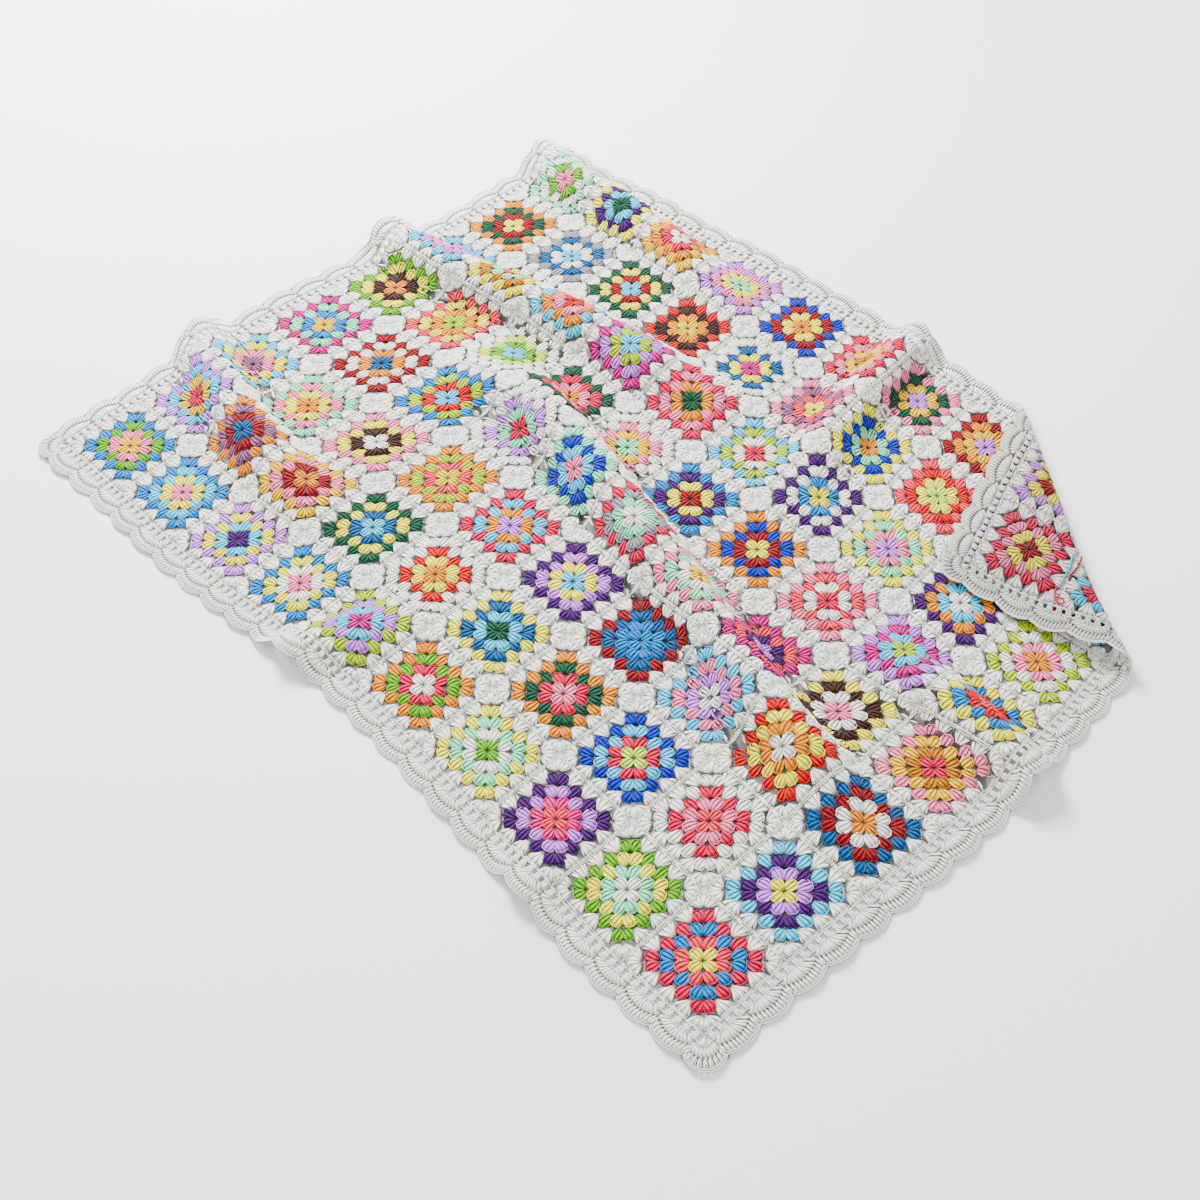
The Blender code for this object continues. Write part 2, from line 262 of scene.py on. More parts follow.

# The thin body behind each kind of stitch, with painted shade where it shows between the strands:
# the corners of its outline, each with how dark its painted shade is there
CLUSTER_BACK = (
    (-7.0, 4.6, 0.10), (0.0, -1.4, 0.10), (7.0, 4.6, 0.10),
    (9.6, 13.6, 0.10), (0.0, 21.4, 0.12), (-9.6, 13.6, 0.10),
)
BORDER_BACK = (
    (-9.5, 6.0, 0.06), (0.0, -1.2, 0.10), (9.5, 6.0, 0.06),
    (12.0, 16.0, 0.14), (0.0, 20.6, 0.40), (-12.0, 16.0, 0.14),
)
POST_BACK = (
    (-2.7, 1.3, 0.25), (0.0, 0.4, 0.25), (2.7, 1.3, 0.25),
    (3.2, 9.7, 0.25), (0.0, 11.2, 0.25), (-3.2, 9.7, 0.25),
)
BACK_HEIGHT = 0.1 * MM
BACK_CROWN = 0.3 * MM
# Painted shade at the crown of the body behind a stitch, lighter than at its rim
CROWN_PAINTED_SHADE = 0.55
DEPTH_PAINTED_SHADE = 0.8  # the painted shade on the body behind a deep yarn, as a share of the yarn's colour
DEPTH_PALENESS = 0.9  # how much lighter the painted shade on the body behind a pale yarn is

# A tall post of two strands: the share of the way from foot to head, how far a strand is off the
# post's middle, and how high it is
POST_PATH = ((0.0, -0.5, -0.3), (0.42, 0.9, 0.4), (1.0, 1.1, 0.1))
POST_PART = 0.9
POST_CROSSING = 0.4  # how far the strands are over and under the post's middle
POST_SWELL = (0.7, 0.95, 1.0)
# Painted shade along a post, darkest at its foot
POST_PAINTED_SHADE = (0.6, 0.95, 1.0)

# A length of chain, whose two strands part between its ends, and how far it runs into the next one
CHAIN_OVERLAP = 0.6
CHAIN_PINCH = 0.3
CHAIN_DIP = 0.2
CHAIN_SWELL = (0.7, 0.9, 0.7)
# Painted shade at both ends of a chain, where it goes under the next one
CHAIN_PAINTED_SHADE = (0.9, 1.0, 0.9)
SEAM_PART = 1.5
SEAM_ARCH = 1.3
MESH_PART = 1.1
MESH_ARCH = 0.5

# The knots of the seams, and the rays of the star where four squares meet, from its middle out
KNOT_PATH = ((0, -3.0, 0.3), (0, 0, 1.7), (0, 3.0, 0.3))
KNOT_SWELL = (0.7, 0.95, 0.7)
# Painted shade at the knot's ends, and a painted highlight over its middle
KNOT_PAINTED_LIGHT = (0.9, 1.05, 0.9)
STAR_RAYS = 8
STAR_SPLAY = 0.13
STAR_PATH = ((1.6, 0.6), (7.0, 0.7), (15.0, -0.2))
STAR_SWELL = (0.7, 0.9, 0.9)
# Painted shade along a ray, darkest at the star's middle
STAR_PAINTED_SHADE = (0.8, 1.0, 0.9)

# The mesh row's posts, which stand in pairs
MESH_POST_OFF = 1.6
MESH_FEET_SPREAD = 0.9
MESH_HEADS_SPREAD = 1.05
MESH_FEET = 1.2
MESH_HEADS_DROP = 0.4
MESH_POST_PART = 0.8

# The edging: a mesh row of posts between two chains, and two rows of shells
POST_SPACING = 12.0 * MM
BASE_CHAIN = 0.7 * MM  # from the squares to the edging's first chain
MESH_CHAIN = 10.2 * MM
SHELL_HALF = 24.0  # half a shell's width, in millimetres
SHELL = 2 * SHELL_HALF * MM
SHELL_REACH = 40.0 * MM
SHELL_DEPTH = 7.0 * MM
CORNER_SHELL_RISE = 10.0 * MM
RIM_INSET = 1.5 * MM
SHELL_POSTS = 11

# A shell on a side, in millimetres: a row of posts from the mesh row's chain to an arc of heads, a
# second row from there to the rim, and the rim's two chains
SHELL_FEET = (0.0, 1.5, 3.1, 4.9, 7.6, 13.0)  # how far each foot is from the middle one
SHELL_FEET_UP = 0.4
SHELL_FEET_ARC = 0.6
SHELL_HEADS_HALF = 22.0
SHELL_HEADS = 24.0
SHELL_HEADS_ARC = 6.2
SHELL_LIFTS = (-0.1, 0.5)  # every second post lies higher
SECOND_ROW_HALF = 22.8
SECOND_ROW_GAP = 0.6
SECOND_ROW_LIFT = 0.2
SECOND_ROW_PART = 1.1
RIM_ROOM = 3.2  # from the second row's heads to the rim
RIM_CHAINS = ((0.0, 0.3), (2.3, 0.6))  # how far in each chain is, and how high
RIM_WAVE = 0.35
RIM_SWELL = 0.85
RIM_HALF = 6
RIM_SHARES = tuple(step / RIM_HALF - 1 for step in range(2 * RIM_HALF + 1))

# A shell round a corner, in millimetres from the corner of the squares. The feet and the heads of its
# first row are given near its sides, with how much further out they are in its middle.
CORNER_POSTS = 9
CORNER_FAN = radians(41)
CORNER_FEET = (11.5, 2.5)
CORNER_HEADS = (21.0, 5.0)
CORNER_SECOND_PART = 1.3
CORNER_SPOKE = ((radians(2), 2.0), (radians(3), 12.5))
CORNER_CHAIN = ((radians(45), 10.4, 0.6), (radians(22), 12.6, 0.7), (0.0, 13.6, 0.6))
CORNER_CHAIN_SWELL = (0.9, 0.9, 0.9)

# The bodies behind the shells: how far out they start, and how wide and long they are against the
# one behind a mesh post
SIDE_BACKS = ((MESH_CHAIN, (0.8, 1.0)), (22.0 * MM, (0.8, 1.1)))
CORNER_BACKS = ((12.0 * MM, (0.7, 1.2)), (25.0 * MM, (0.9, 1.0)))

# Yarn ends that were left to lie on the wrong side, where the turned corner shows it
YarnEnd = namedtuple("YarnEnd", "yarn place angle kind")
YARN_ENDS = (
    YarnEnd("rose", place=(0.592, 0.366), angle=radians(205), kind=0),
    YarnEnd("light_blue", place=(0.570, 0.3635), angle=radians(-88), kind=1),
    YarnEnd("crimson", place=(0.561, 0.3572), angle=radians(-93), kind=1),
    YarnEnd("pink", place=(0.474, 0.452), angle=radians(150), kind=1),
)

# The paths of the two kinds of yarn end, in millimetres: a loop, and a float along the squares' edge
END_LOOP = (
    (0.0, 0.0, -1.6), (1.5, 4.0, -2.9), (-1.0, 10.0, -3.2), (-6.0, 13.0, -3.2), (-9.5, 9.0, -3.2),
    (-6.5, 4.0, -3.2), (-1.0, 2.0, -4.6), (7.0, 1.5, -3.4), (13.0, 4.0, -3.0), (17.0, 4.5, -2.6),
)
END_FLOAT = (
    (0.0, 0.0, -1.6), (1.2, 6.0, -2.9), (0.2, 15.0, -3.0), (-1.4, 25.0, -3.0), (-0.4, 36.0, -3.0),
    (1.2, 45.0, -2.9), (0.8, 52.0, -1.6),
)

# The camera
AZIMUTH = radians(45)
ELEVATION = radians(50)
DISTANCE = 2.08
LENS = 50.0
AIM = (0.10, -0.145, 0.0)

# The studio
FLOOR_SIZE = 12
FLOOR_COLOUR = (0.86, 0.86, 0.86, 1)
FLOOR_ROUGHNESS = 0.8
SKY_STRENGTH = 1.35
Light = namedtuple("Light", "name place size power")
LIGHTS = (
    Light("key", place=(-1.9, 0.7, 1.9), size=1.0, power=300),
    Light("fill", place=(2.2, -1.8, 2.2), size=2.6, power=40),
)


def smooth_step(share):
    """0 before 0, 1 after 1, and a smooth rise between them."""
    share = np.clip(share, 0.0, 1.0)
    return share * share * (3 - 2 * share)


def line_of(start, end):
    """A line's start, its unit direction, its unit normal and its length."""
    start = np.array(start)
    along = np.array(end) - start
    length = np.linalg.norm(along)
    along = along / length
    return start, along, np.array((-along[1], along[0])), length


def one_fold(fold, place):
    """How high a fold lifts the cloth at each place, and how far it draws the cloth in there."""
    start, along, across, length = line_of(fold.start, fold.end)
    offset = place - start
    share = offset @ along / length
    sideways = offset @ across - fold.bow * 4 * share * (1 - share)
    strength = smooth_step(share / fold.fade_in) * smooth_step((1 - share) / fold.fade_out)
    height = fold.height * strength
    inside = np.minimum(1.0, np.abs(sideways) / fold.half_width)
    lift = height * (1 - inside**2) ** 2
    # The length that the cloth loses over a slope is half of the slope squared, added up along it.
    slack_share = 16 * (inside**3 / 3 - 2 * inside**5 / 5 + inside**7 / 7) / FULL_SLACK
    slack = FULL_SLACK * height**2 / fold.half_width / 2
    beyond = np.maximum(0.0, np.abs(sideways) - fold.half_width)
    pull = slack * slack_share * np.exp(-beyond / FOLD_SLACK_REACH)
    return lift, -(pull * np.sign(sideways))[:, None] * across


def all_folds(place):
    """The folds' joint lift, and their joint sideways pull."""
    lifts = np.zeros(len(place))
    pulls = np.zeros_like(place)
    for fold in FOLDS:
        lift, pull = one_fold(fold, place)
        lifts += lift**2
        pulls += pull
    return np.sqrt(lifts), pulls


def turn_corner(flat):
    """Where each flat point lies once the corner is turned over, and how high the cloth's middle is."""
    start, along, inward, _ = line_of(TURN_FROM, TURN_TO)
    outward = -inward
    past = (flat - start) @ outward
    on_line = flat - outward * past[:, None]
    angle = np.clip(past / TURN_RADIUS, 0.0, pi)
    beyond = np.maximum(0.0, past - pi * TURN_RADIUS)
    reach = np.where(past <= 0, past, TURN_RADIUS * np.sin(angle) - beyond)
    place = on_line + outward * reach[:, None]
    rolled = TURN_RADIUS * (1 - np.cos(angle))
    wave = (1 - np.cos(2 * pi * ((on_line - start) @ along) / FLAP_WAVE_LENGTH)) / 2
    close = THICKNESS + FLAP_GAP + FLAP_WAVE * wave
    settled = smooth_step(beyond / FLAP_SETTLE)
    height = THICKNESS / 2 + rolled + (close - 2 * TURN_RADIUS) * settled
    return place, height


def drifted(place):
    """Where the drift takes each point of the cloth on the floor."""
    for drift in DRIFTS:
        wave = np.sin(2 * pi * (place @ (drift.waves_x, drift.waves_y)) + drift.phase)
        x = place[:, 0] + drift.move_x * wave
        y = place[:, 1] + drift.move_y * wave
        place = np.stack((x, y), 1)
    return place


def ruffle(flat):
    """How far the edging stands off the floor."""
    out = np.maximum(0.0, np.maximum(abs(flat[:, 0]) - HALF_LONG, abs(flat[:, 1]) - HALF_WIDE)) / EDGING
    return RUFFLE * out * (1 - np.cos(2 * pi * flat.sum(1) / RUFFLE_LENGTH)) / 2


def middle_of_cloth(flat):
    """Where the middle of the cloth's thickness lies, for points of the flat pattern."""
    place, height = turn_corner(flat)
    lift, pull = all_folds(place)
    place = drifted(place + pull)
    return np.column_stack((place, height + lift + ruffle(flat)))


def laid(points):
    """Where points of the flat pattern lie in the folds, each off the cloth's middle by its height."""
    flat = points[:, :2]
    along_x = middle_of_cloth(flat + (PROBE, 0)) - middle_of_cloth(flat - (PROBE, 0))
    along_y = middle_of_cloth(flat + (0, PROBE)) - middle_of_cloth(flat - (0, PROBE))
    right_side = np.cross(along_x, along_y)
    right_side /= np.linalg.norm(right_side, axis=1)[:, None]
    return middle_of_cloth(flat) + right_side * points[:, 2:]


def to_frame():
    """How far the laid cloth has to move to stand where the frame's cloth stands."""
    x, y, z = np.meshgrid(
        np.linspace(-HALF_LONG, HALF_LONG, round(2 * HALF_LONG / GRID) + 1),
        np.linspace(-HALF_WIDE, HALF_WIDE, round(2 * HALF_WIDE / GRID) + 1),
        (-THICKNESS / 2, THICKNESS / 2),
    )
    cloth = laid(np.column_stack((x.ravel(), y.ravel(), z.ravel())))
    low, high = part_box("joined_squares")
    middle = (np.array(low) + np.array(high)) / 2
    move = middle - (cloth.min(0) + cloth.max(0)) / 2
    return move * (1, 1, 0)


Stitch = namedtuple("Stitch", "points corners starts uv tone")
Copy = namedtuple("Copy", "kind place angle scale height twist colour")


def ring_places(points, station, radius, crest):
    """The corners of the yarn's ring at one station of its path, the first one at the crest."""
    before = points[max(station - 1, 0)]
    after = points[min(station + 1, len(points) - 1)]
    along = (after - before).normalized()
    side = along.cross((0, 0, 1)).normalized()
    up = side.cross(along)
    angles = [crest + 2 * pi * corner / YARN_SIDES for corner in range(YARN_SIDES)]
    return [points[station] + (side * cos(a) + up * sin(a)) * radius for a in angles]


def add_yarn(stitch, points, radii, painted_shadings, crest=pi / 2):
    """Draws a length of yarn through points in millimetres, as a tube closed at both ends."""
    uv = stitch.loops.layers.uv.verify()
    tone = stitch.verts.layers.float["tone"]
    points = [Vector(point) * MM for point in points]
    run = [0.0]
    for before, after in zip(points, points[1:]):
        run.append(run[-1] + (after - before).length)
    ring = bmesh.ops.create_circle(stitch, cap_ends=True, segments=YARN_SIDES, radius=MM)["verts"]
    end = ring[0].link_faces[0]
    corner_of = {}
    for station in range(len(points)):
        if station:
            grown = bmesh.ops.extrude_face_region(stitch, geom=[end])["geom"]
            # The first end closes the tube. A later one would be left inside it.
            if station > 1:
                bmesh.ops.delete(stitch, geom=[end], context="FACES_ONLY")
            end = next(item for item in grown if isinstance(item, bmesh.types.BMFace))
            fresh = [item for item in grown if isinstance(item, bmesh.types.BMVert)]
            ring = [min(fresh, key=lambda vert: (vert.co - old.co).length) for old in ring]
        for corner, place in enumerate(ring_places(points, station, radii[station], crest)):
            ring[corner].co = place
            # Painted shade: the corners below the strand's middle take a darker colour.
            below = place.z < points[station].z
            ring[corner][tone] = painted_shadings[station] * (UNDERSIDE_PAINTED_SHADE if below else 1.0)
            corner_of[ring[corner]] = (station, corner)
    faces = {face for vert in corner_of for face in vert.link_faces}
    for face in faces:
        wraps = {corner_of[vert][1] for vert in face.verts} == {0, YARN_SIDES - 1}
        for loop in face.loops:
            station, corner = corner_of[loop.vert]
            around = (YARN_SIDES if wraps and corner == 0 else corner) / YARN_SIDES
            loop[uv].uv = (around, run[station] / PLY_TURN)


def swelling(shares, radius=YARN_RADIUS):
    """A strand's radius at each station of its path."""
    return [radius * share for share in shares]


def new_stitch():
    """An empty stitch."""
    stitch = bmesh.new()
    stitch.verts.layers.float.new("tone")
    stitch.loops.layers.uv.verify()
    return stitch


def finished(stitch):
    """The stitch's mesh as arrays, ready to be worked many times."""
    bmesh.ops.recalc_face_normals(stitch, faces=stitch.faces)
    stitch.verts.index_update()
    uv = stitch.loops.layers.uv.verify()
    tone = stitch.verts.layers.float["tone"]
    loops = [loop for face in stitch.faces for loop in face.loops]
    sizes = [len(face.verts) for face in stitch.faces]
    made = Stitch(
        points=np.array([vert.co[:] for vert in stitch.verts]),
        corners=np.array([loop.vert.index for loop in loops]),
        starts=np.concatenate(([0], np.cumsum(sizes)[:-1])),
        uv=np.array([loop[uv].uv[:] for loop in loops]),
        tone=np.array([vert[tone] for vert in stitch.verts]),
    )
    stitch.free()
    return made


def cluster(seed, spreads, swell, heads):
    """Three double crochet stitches, each of two strands, with the chain of their heads over them."""
    stitch = new_stitch()
    shuffle = np.random.default_rng(seed)
    for strand in range(STRANDS):
        across = (strand - OUTERMOST) / OUTERMOST
        partner = (strand + (1 if strand % 2 == 0 else -1) - OUTERMOST) / OUTERMOST
        over = strand % 2 == (0 if seed % 2 else 1)
        points = []
        for station, (y, spread, over_z, under_z) in enumerate(spreads):
            x = spread * (partner if station == 0 else across)
            if station == 0:
                y += FOOT_ROUNDING * across**2
            elif station == len(spreads) - 1:
                y -= HEAD_ROUNDING * across**2
            off = shuffle.uniform(-STRAND_SHUFFLE, STRAND_SHUFFLE, 3)
            points.append((x + off[0], y + off[1], (over_z if over else under_z) + off[2] / 2))
        add_yarn(stitch, points, swelling(swell), STRAND_PAINTED_SHADE, crest=-pi / 2 if over else pi / 2)
    points = []
    for place in heads:
        points.append(tuple(np.array(place) + shuffle.uniform(-HEADS_SHUFFLE, HEADS_SHUFFLE, 3)))
    add_yarn(stitch, points, swelling(HEADS_SWELL, HEADS_RADIUS), HEADS_PAINTED_LIGHT)
    return finished(stitch)


def back(outline):
    """The thin closed body behind a stitch, with painted shade where it shows between the strands."""
    stitch = new_stitch()
    tone = stitch.verts.layers.float["tone"]
    made = bmesh.ops.create_cone(
        stitch, cap_ends=True, segments=len(outline), radius1=MM, radius2=0, depth=MM,
    )
    tip = max(made["verts"], key=lambda vert: vert.co.z)
    ring = [vert for vert in made["verts"] if vert is not tip]
    ring.sort(key=lambda vert: atan2(vert.co.y, vert.co.x))
    middle = sum(y for _, y, _ in outline) / len(outline)
    # The outline's last column is painted shade, darkest where the body shows between the strands.
    for vert, (x, y, depth) in zip(ring, outline):
        vert.co = (x * MM, y * MM, BACK_HEIGHT)
        vert[tone] = depth
    tip.co = (0, middle * MM, BACK_HEIGHT + BACK_CROWN)
    tip[tone] = CROWN_PAINTED_SHADE
    return finished(stitch)


def add_post(stitch, foot, head, height=0.0, part=POST_PART):
    """One tall stitch: two strands from foot to head that cross low down, in millimetres."""
    foot = np.array(foot)
    head = np.array(head)
    along = (head - foot) / np.linalg.norm(head - foot)
    side = np.array((along[1], -along[0]))
    for sign in (-1, 1):
        points = []
        for share, off, lift in POST_PATH:
            place = foot + (head - foot) * share + side * off * sign * part
            points.append((*place, height + lift + POST_CROSSING * sign))
        add_yarn(stitch, points, swelling(POST_SWELL), POST_PAINTED_SHADE, crest=-pi / 2 * sign)


def chain_length(length, part, arch):
    """Two strands that part and meet again along a chain, in millimetres."""
    stitch = new_stitch()
    for side in (-1, 1):
        start = (-CHAIN_OVERLAP, CHAIN_PINCH * side, arch - CHAIN_DIP)
        middle = (length / 2, part * side, arch)
        finish = (length + CHAIN_OVERLAP, CHAIN_PINCH * side, arch - CHAIN_DIP)
        add_yarn(stitch, (start, middle, finish), swelling(CHAIN_SWELL), CHAIN_PAINTED_SHADE)
    return finished(stitch)


def knot():
    """The slip stitch that closes a seam between two clusters."""
    stitch = new_stitch()
    add_yarn(stitch, KNOT_PATH, swelling(KNOT_SWELL), KNOT_PAINTED_LIGHT)
    return finished(stitch)


def corner_star():
    """The strands that close the corner where four squares meet."""
    stitch = new_stitch()
    for ray in range(STAR_RAYS):
        angle = (ray // 2) * pi / 2 + pi / 4 + (STAR_SPLAY if ray % 2 else -STAR_SPLAY)
        points = [(radius * sin(angle), radius * cos(angle), z) for radius, z in STAR_PATH]
        add_yarn(stitch, points, swelling(STAR_SWELL), STAR_PAINTED_SHADE)
    return finished(stitch)


def mesh_post():
    """One group of posts of the edging's mesh row."""
    stitch = new_stitch()
    for x in (-MESH_POST_OFF, MESH_POST_OFF):
        foot = (x * MESH_FEET_SPREAD, MESH_FEET)
        head = (x * MESH_HEADS_SPREAD, MESH_CHAIN / MM - MESH_HEADS_DROP)
        add_post(stitch, foot, head, part=MESH_POST_PART)
    return finished(stitch)


def shell_top(share):
    """How far the shells reach, in millimetres, at a share of a shell's half length from its middle."""
    reach = SHELL_REACH - SHELL_DEPTH * (1 - cos(pi * share / 2)) - RIM_INSET
    return reach / MM


def add_rim(stitch, points):
    """The two chains along the heads of a shell, in millimetres."""
    points = np.array(points)
    inward = np.gradient(points, axis=0)
    inward = np.column_stack((inward[:, 1], -inward[:, 0])) / np.linalg.norm(inward, axis=1)[:, None]
    wave = RIM_WAVE * np.cos(np.arange(len(points)) * pi)
    radii = swelling([RIM_SWELL] * len(points))
    for off, height in RIM_CHAINS:
        path = points + inward * (off + wave)[:, None]
        add_yarn(stitch, [(*place, height) for place in path], radii, [1.0] * len(points))


def side_shell():
    """A shell on a side: two rows of tall stitches fanned out from one space, and their rim."""
    stitch = new_stitch()
    half = SHELL_POSTS // 2
    for index in range(SHELL_POSTS):
        step = index - half
        share = step / half
        side = 1 if step > 0 else -1
        foot = (side * SHELL_FEET[abs(step)], MESH_CHAIN / MM + SHELL_FEET_UP + SHELL_FEET_ARC * share**2)
        head = (SHELL_HEADS_HALF * share, SHELL_HEADS - SHELL_HEADS_ARC * share**2)
        add_post(stitch, foot, head, SHELL_LIFTS[step % 2])
        foot = (head[0], head[1] + SECOND_ROW_GAP)
        head = (SECOND_ROW_HALF * share, shell_top(share) - RIM_ROOM)
        add_post(stitch, foot, head, SECOND_ROW_LIFT, SECOND_ROW_PART)
    add_rim(stitch, [(SHELL_HALF * share, shell_top(share)) for share in RIM_SHARES])
    return finished(stitch)


def corner_shell():
    """A shell round a corner, fanned out from the corner of the squares."""
    stitch = new_stitch()
    half = CORNER_POSTS // 2

    def spot(angle, radius):
        return radius * sin(angle), radius * cos(angle)

    def arc(angle, sides, rise):
        return sides + rise * cos(2 * angle)

    def top(angle):
        return arc(angle, SHELL_REACH - SHELL_DEPTH - RIM_INSET, CORNER_SHELL_RISE) / MM

    for index in range(CORNER_POSTS):
        angle = CORNER_FAN * (index - half) / half
        heads = arc(angle, *CORNER_HEADS)
        add_post(stitch, spot(angle, arc(angle, *CORNER_FEET)), spot(angle, heads))
        foot = spot(angle, heads + SECOND_ROW_GAP)
        head = spot(angle, top(angle) - RIM_ROOM)
        add_post(stitch, foot, head, SECOND_ROW_LIFT, CORNER_SECOND_PART)
    angles = [radians(45) * share for share in RIM_SHARES]
    add_rim(stitch, [spot(angle, top(angle)) for angle in angles])
    for side in (-1, 1):
        foot, head = (spot(side * angle, radius) for angle, radius in CORNER_SPOKE)
        add_post(stitch, foot, head)
        chain = [(*spot(side * angle, radius), height) for angle, radius, height in CORNER_CHAIN]
        add_yarn(stitch, chain, swelling(CORNER_CHAIN_SWELL), [1.0] * len(chain))
    return finished(stitch)


def directions(facing):
    """The unit directions across a stitch and along it, from the way that it faces."""
    return np.array((cos(facing), -sin(facing))), np.array((sin(facing), cos(facing)))


def work(stitches, copies):
    """The points, faces, yarn map and colours of many stitches, each at its place on the pattern."""
    points, corners, starts, uvs, colours = [], [], [], [], []
    vert_count = 0
    corner_count = 0
    for copy in copies:
        stitch = stitches[copy.kind]
        across, along = directions(copy.angle)
        spread = stitch.points * (*copy.scale, 1.0)
        flat = np.array(copy.place) + spread[:, :1] * across + spread[:, 1:2] * along
        points.append(np.column_stack((flat, spread[:, 2] + copy.height)))
        corners.append(stitch.corners + vert_count)
        starts.append(stitch.starts + corner_count)
        uvs.append(stitch.uv + copy.twist)
        # Each point's colour is its yarn's colour times its painted shade, or painted highlight, there.
        colours.append(np.array(copy.colour) * stitch.tone[:, None])
        vert_count += len(stitch.points)
        corner_count += len(stitch.corners)
    return [np.concatenate(part) for part in (points, corners, starts, uvs, colours)]


def linear(colour):
    """A colour as it looks, turned into the amounts of light that a shader takes."""
    colour = np.array(colour)
    return np.where(colour <= 0.04045, colour / 12.92, ((colour + 0.055) / 1.055) ** 2.4)


def piece(name, stitches, copies, material, move):
    """A piece made of many stitches, laid in the folds."""
    points, corners, starts, uvs, colours = work(stitches, copies)
    places = laid(points) + move
    mesh = bpy.data.meshes.new(name)
    mesh.vertices.add(len(places))
    mesh.vertices.foreach_set("co", places.astype(np.float32).ravel())
    mesh.loops.add(len(corners))
    mesh.loops.foreach_set("vertex_index", corners.astype(np.int32))
    mesh.polygons.add(len(starts))
    mesh.polygons.foreach_set("loop_start", starts.astype(np.int32))
    mesh.update(calc_edges=True)
    mesh.uv_layers.new(name="yarn").uv.foreach_set("vector", uvs.astype(np.float32).ravel())
    # The yarn's dye, times the painted shade and painted highlights of its stitches, for the material to
    # read.
    dye_and_painted_shade = mesh.color_attributes.new("dye_and_painted_shade", "FLOAT_COLOR", "POINT")
    full = np.column_stack((np.minimum(colours, 1.0), np.ones(len(colours))))
    dye_and_painted_shade.data.foreach_set("color", full.astype(np.float32).ravel())
    mesh.shade_smooth()
    mesh.materials.append(material)
    made = bpy.data.objects.new(name, mesh)
    bpy.context.scene.collection.objects.link(made)
    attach(made, "root")
    return made


def round_side(number):
    """The clusters of one side of a round: the place of each one's foot, and of its head."""
    if number == 1:
        yield (0.0, FIRST_FOOT), (0.0, FIRST_ROUND)
        return
    pitch = BORDER_PITCH if number == ROUNDS else CLUSTER_PITCH
    head = FIRST_ROUND + ROUND_RISE * (number - 1)
    corner = CORNER_FOOT + CORNER_RISE * (number - 2)
    for index in range(number):
        along = pitch * (index - (number - 1) / 2)
        if index in (0, number - 1):
            side = 1 if along > 0 else -1
            yield (side * (corner - CORNER_PART), corner + CORNER_PART), (along, head)
        else:
            yield (along, head - CLUSTER_HEIGHT), (along, head)


def square_clusters(column, row, yarns):
    """Every cluster of one granny square."""
    middle = np.array((-HALF_LONG + SQUARE * (column + 0.5), -HALF_WIDE + SQUARE * (row + 0.5)))
    yarns = yarns + ["white"] * (ROUNDS - len(yarns))
    for number, yarn in enumerate(yarns, start=1):
        dyed = linear(YARNS[yarn])
        wide = FIRST_ROUND_WIDTH if number == 1 else 1.0
        first_kind = VARIANTS if number == ROUNDS else 0
        for facing in FACINGS:
            across, along = directions(facing)
            for foot, head in round_side(number):
                lean = atan2(head[0] - foot[0], head[1] - foot[1])
                length = np.hypot(head[0] - foot[0], head[1] - foot[1]) / CLUSTER_HEIGHT
                place = middle + across * foot[0] + along * foot[1]
                yield Copy(
                    kind=int(rng.integers(VARIANTS)) + first_kind,
                    place=place + rng.normal(0, PLACE_SCATTER, 2) * MM,
                    angle=facing + lean + rng.normal(0, TURN_SCATTER),
                    scale=(
                        wide * (1 + rng.normal(0, WIDTH_SCATTER)),
                        length * (1 + rng.normal(0, LENGTH_SCATTER)),
                    ),
                    height=rng.normal(0, HEIGHT_SCATTER) * MM,
                    twist=rng.uniform(0, 1),
                    colour=dyed * (1 + rng.normal(0, DYE_SCATTER)),
                )


def white_copy(kind, place, angle, height=0.0, scale=(1.0, 1.0)):
    """A copy of a stitch in the white yarn."""
    shade = linear(YARNS["white"]) * (1 + rng.normal(0, WHITE_SCATTER))
    return Copy(kind, place, angle, scale, height, rng.uniform(0, 1), shade)


def seam_stitches():
    """The seams between the squares: kind 0 is a length of chain, 1 the knot between two, 2 the star."""
    lengths = round(SQUARE / BORDER_PITCH)
    for column in range(1, SQUARES_LONG):
        x = -HALF_LONG + SQUARE * column
        for index in range(lengths * SQUARES_WIDE):
            y = -HALF_WIDE + BORDER_PITCH * index
            yield white_copy(0, (x, y), -pi / 2)
            if index:
                yield white_copy(1, (x, y), -pi / 2)
    for row in range(1, SQUARES_WIDE):
        y = -HALF_WIDE + SQUARE * row
        for index in range(lengths * SQUARES_LONG):
            x = -HALF_LONG + BORDER_PITCH * index
            yield white_copy(0, (x, y), 0.0)
            if index:
                yield white_copy(1, (x, y), 0.0)
    for column in range(1, SQUARES_LONG):
        for row in range(1, SQUARES_WIDE):
            yield white_copy(2, (-HALF_LONG + SQUARE * column, -HALF_WIDE + SQUARE * row), 0.0)


def side_halves(facing):
    """Half the length of one side of the joined squares, and how far it is from their middle."""
    upright = round(facing / (pi / 2)) % 2 == 0
    return (HALF_LONG, HALF_WIDE) if upright else (HALF_WIDE, HALF_LONG)


def side_length(facing):
    """The length of one side of the joined squares."""
    return 2 * side_halves(facing)[0]


def side_place(facing, along_side, out):
    """A place beside the squares: how far along a side from its start, and how far out from it."""
    half, reach = side_halves(facing)
    across, along = directions(facing)
    return across * (along_side - half) + along * (reach + out)


def mesh_row_stitches():
    """The edging's mesh row: kind 0 is a length of chain, 1 a group of posts."""
    for facing in FACINGS:
        for index in range(round(side_length(facing) / POST_SPACING)):
            start = POST_SPACING * index
            yield white_copy(0, side_place(facing, start, BASE_CHAIN), facing)
            yield white_copy(0, side_place(facing, start, MESH_CHAIN), facing)
            yield white_copy(1, side_place(facing, start + POST_SPACING / 2, 0), facing)


